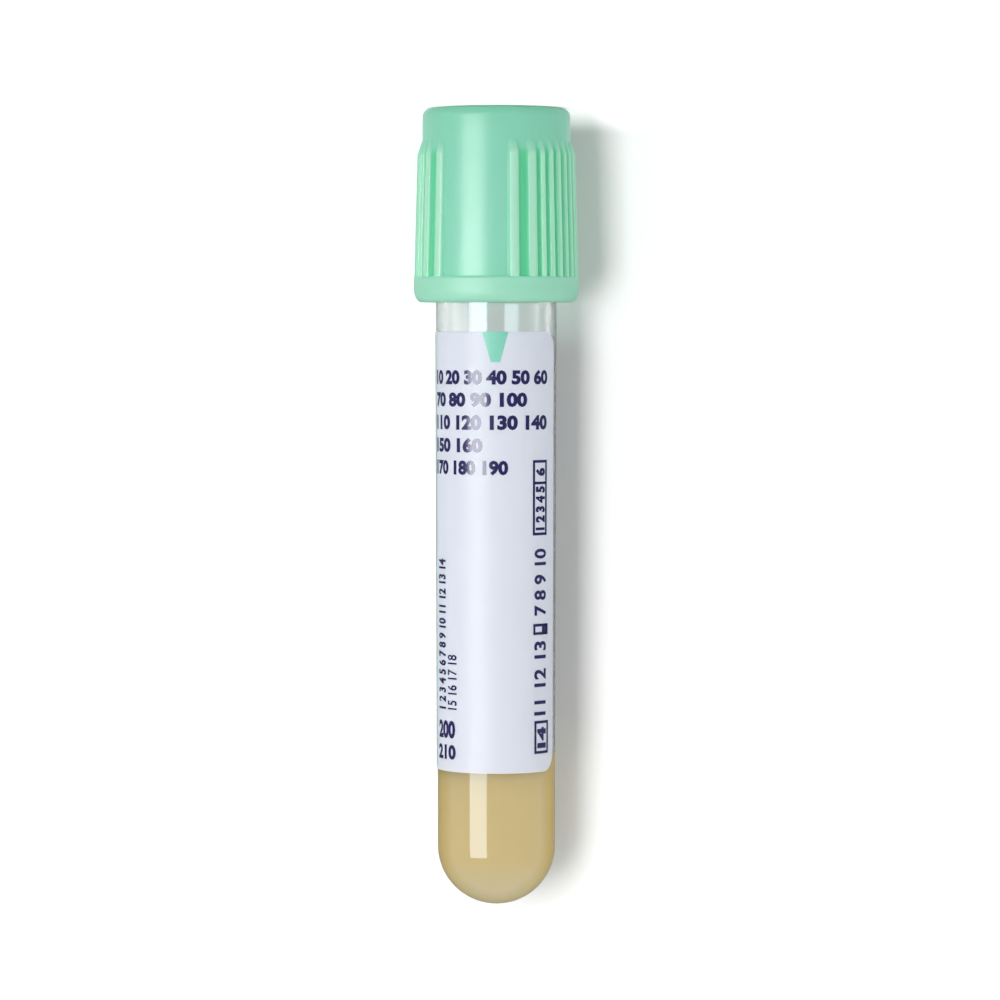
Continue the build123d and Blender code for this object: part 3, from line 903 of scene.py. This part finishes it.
# %% Rows of numbers
ROW_LEFT, ROW_HEIGHT, ROW_PITCH, FIRST_BASE = -8.75 * MM, 1.62 * MM, 2.46 * MM, 18.25 * MM
BOLD_ROWS = [("10 20 30 40 50 60", 6.5), ("70 80 90 100", 3.5), ("110 120 130 140", 6.4),
             ("150 160", -1.5), ("170 180 190", 1.3)]         # numbers, and the right end in mm
for number, (text, right_end) in enumerate(BOLD_ROWS):
    row(text, ROW_HEIGHT, ROW_LEFT, FIRST_BASE - number * ROW_PITCH, right_end * MM - ROW_LEFT, 0.05)

SIDE_ROW_FOOT = -17.2 * MM
side_row("1 2 3 4 5 6 7 8 9 10 11 12 13 14", 1.8 * MM, -6.5 * MM, SIDE_ROW_FOOT, 16.4 * MM, 0.04)
side_row("15 16 17 18", 1.5 * MM, -4.72 * MM, SIDE_ROW_FOOT, 6.0 * MM, 0.02)
row("200", 2.0 * MM, -8.26 * MM, -20.4 * MM, 3.28 * MM, 0.05)
row("210", 1.65 * MM, -8.4 * MM, -22.7 * MM, 3.5 * MM, 0.05)
print("navy ink", len(inked["navy"].faces), "faces")

# %% [markdown]
# A narrow column stands at the right of the label: from the top a tall box of numbers with a line across
# it, a row, a small half-filled box, another row, and a box at the foot.

# %% Side column
COLUMN_LEFT, COLUMN_WIDTH, LINE = 4.25 * MM, 2.2 * MM, 0.3 * MM
COLUMN_BASE = COLUMN_LEFT + 1.85 * MM
SMALL, LARGE = 1.45 * MM, 1.9 * MM        # heights of the numbers in the boxes and between them

box(COLUMN_LEFT, 1.85 * MM, COLUMN_WIDTH, 8.2 * MM, LINE)
bar(COLUMN_LEFT, 7.4 * MM, COLUMN_WIDTH, LINE)
side_row("1 2 3 4 5", SMALL, COLUMN_BASE, 2.4 * MM, 4.8 * MM, 0.06)
side_row("6", SMALL, COLUMN_BASE, 8.3 * MM, 0.9 * MM, 0.06)
side_row("7 8 9 10", LARGE, COLUMN_BASE + 0.28 * MM, -6.9 * MM, 7.3 * MM, 0.03)
box(COLUMN_LEFT + 0.1 * MM, -9.0 * MM, 2.35 * MM, 1.2 * MM, LINE)
bar(COLUMN_LEFT + 1.4 * MM, -9.0 * MM, 1.05 * MM, 1.2 * MM)
side_row("11 12 13", LARGE, COLUMN_BASE + 0.28 * MM, -17.8 * MM, 8.1 * MM, 0.03)
box(COLUMN_LEFT + 0.28 * MM, -22.0 * MM, COLUMN_WIDTH + 0.1 * MM, 3.6 * MM, LINE)
side_row("14", SMALL, COLUMN_BASE + 0.3 * MM, -21.4 * MM, 2.3 * MM, 0.06)
print("navy ink", len(inked["navy"].faces), "faces")

# %% [markdown]
# The pointer hangs from the label's upper edge, and narrows downwards. The side band runs up the label to
# the left of all the rows, and stops short of both edges.

# %% Pointer and side band
POINTER_MIDDLE, POINTER_LENGTH = -0.1 * MM, 3.3 * MM
POINTER_TOP, POINTER_TIP = 1.42 * MM, 0.5 * MM    # half widths
BAND_LEFT, BAND_WIDTH, BAND_GAP = -13.5 * MM, 4.3 * MM, 0.3 * MM
ink("green", [(-POINTER_TOP, 0), (-POINTER_TIP, -POINTER_LENGTH), (POINTER_TIP, -POINTER_LENGTH),
              (POINTER_TOP, 0)], [(0, 1, 2, 3)], POINTER_MIDDLE, half_height)
bar(BAND_LEFT, -half_height + BAND_GAP, BAND_WIDTH, 2 * half_height - 2 * BAND_GAP, "pale")
print("side band", round(BAND_WIDTH / MM, 1), "mm wide")

# %% [markdown]
# Printing ink dries to a thin film with more gloss than the paper under it, and its colour is a little
# uneven. It is laid just off the sheet, because two faces at one height would flicker.

# %% Wrap the ink onto the label
INK_LIFT = LABEL_THICKNESS + 0.012 * MM
INK_LEFT, INK_RIGHT = -14 * MM, 8 * MM    # all ink lies between these
STRIP = 0.3 * MM                          # widest strip of ink that is left flat

navy_ink = Finish("navy_ink", Roughness=0.2, Specular_IOR_Level=0.42)
navy_ink.drive("Base Color", navy_ink.mottle(0.3 * MM, "#08044C", "#110B60", 3.0))
green_ink = Finish("green_ink", Roughness=0.38, Specular_IOR_Level=0.25)
green_ink.drive("Base Color", green_ink.mottle(0.4 * MM, "#86DCC4", "#92E2CC"))
pale_ink = Finish("pale_green_ink", Roughness=0.4, Specular_IOR_Level=0.4)
pale_ink.drive("Base Color", pale_ink.mottle(0.4 * MM, "#8FCFA8", "#A3DAB8"))

for colour_name, finish in (("navy", navy_ink), ("green", green_ink), ("pale", pale_ink)):
    sheet = inked[colour_name]
    for cut in np.arange(INK_LEFT, INK_RIGHT, STRIP):
        bmesh.ops.bisect_plane(sheet, geom=sheet.verts[:] + sheet.edges[:] + sheet.faces[:], dist=TOUCHING,
                               plane_co=(cut, 0, 0), plane_no=(1, 0, 0))
    flat = np.array([vertex.co for vertex in sheet.verts])
    wrapped = on_label(flat[:, 0], flat[:, 1], INK_LIFT)
    sheet.verts.index_update()
    mesh = bpy.data.meshes.new("print_" + colour_name)
    mesh.from_pydata(wrapped, [], [[vertex.index for vertex in face.verts] for face in sheet.faces])
    sheet.free()
    face_outward(mesh)
    wear(ride_body("print_" + colour_name, mesh, "tube_body"), finish)
